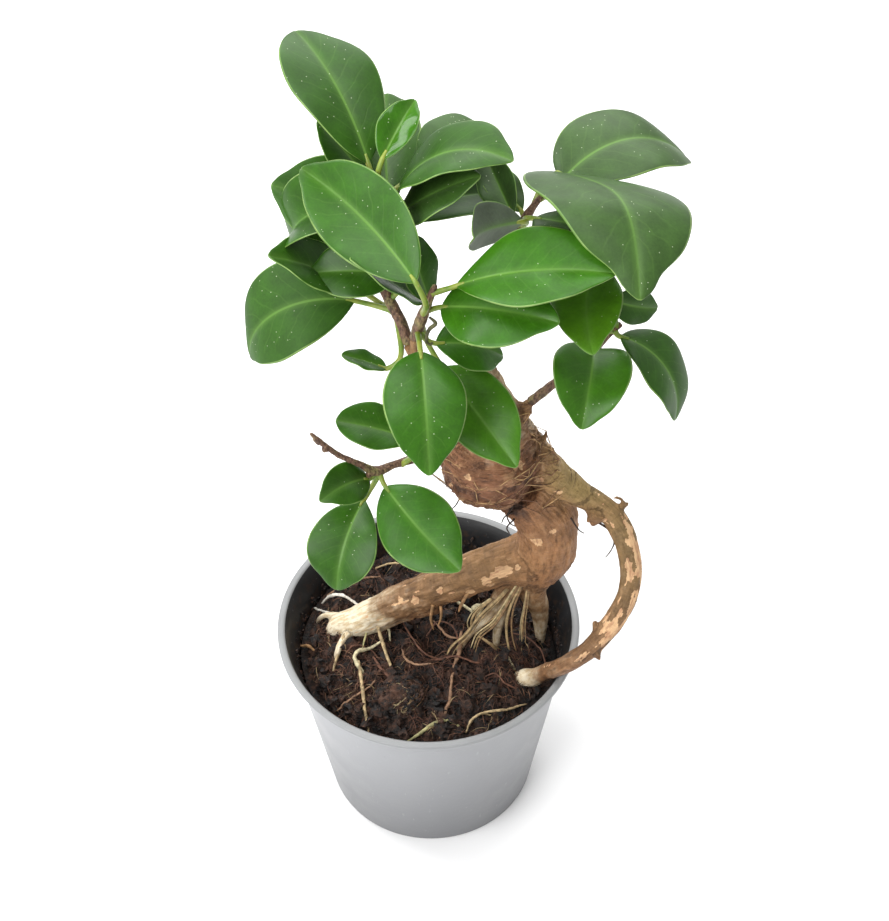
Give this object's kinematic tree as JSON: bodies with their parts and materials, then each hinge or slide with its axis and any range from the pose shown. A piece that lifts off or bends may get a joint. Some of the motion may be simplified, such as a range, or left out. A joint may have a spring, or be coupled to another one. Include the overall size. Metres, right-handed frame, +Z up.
{
  "type": "potted chinese banyan bonsai",
  "caption": "Young ficus bonsai with a swollen raised rootstock, an arched root and glossy oval leaves, in a tapered grey nursery pot.",
  "frame": {"origin": "middle of the pot's flat foot", "axes": "+Z up along the pot's axis, -Y towards the viewer of the picture, +X to the right"},
  "size_m": [0.1558, 0.1324, 0.3296],
  "materials": {
    "pot_plastic": "satin grey thermoformed polypropylene, darker inside, with fine scuffs and dirt specks",
    "soil": "dark fibrous peat with root hairs, matt",
    "bark": "thin olive brown bark with tan scars, rough and fibrous on the swollen rootstock",
    "leaf": "glossy leathery leaf, dark green above with a pale midrib and margin"
  },
  "bodies": {
    "root": {"pot": "pot_plastic", "soil": "soil", "trunk": "bark", "crown_shoot": "leaf", "front_shoot": "leaf", "back_shoot": "leaf", "right_shoot": "leaf", "left_shoot": "leaf"}
  },
  "joints": []
}
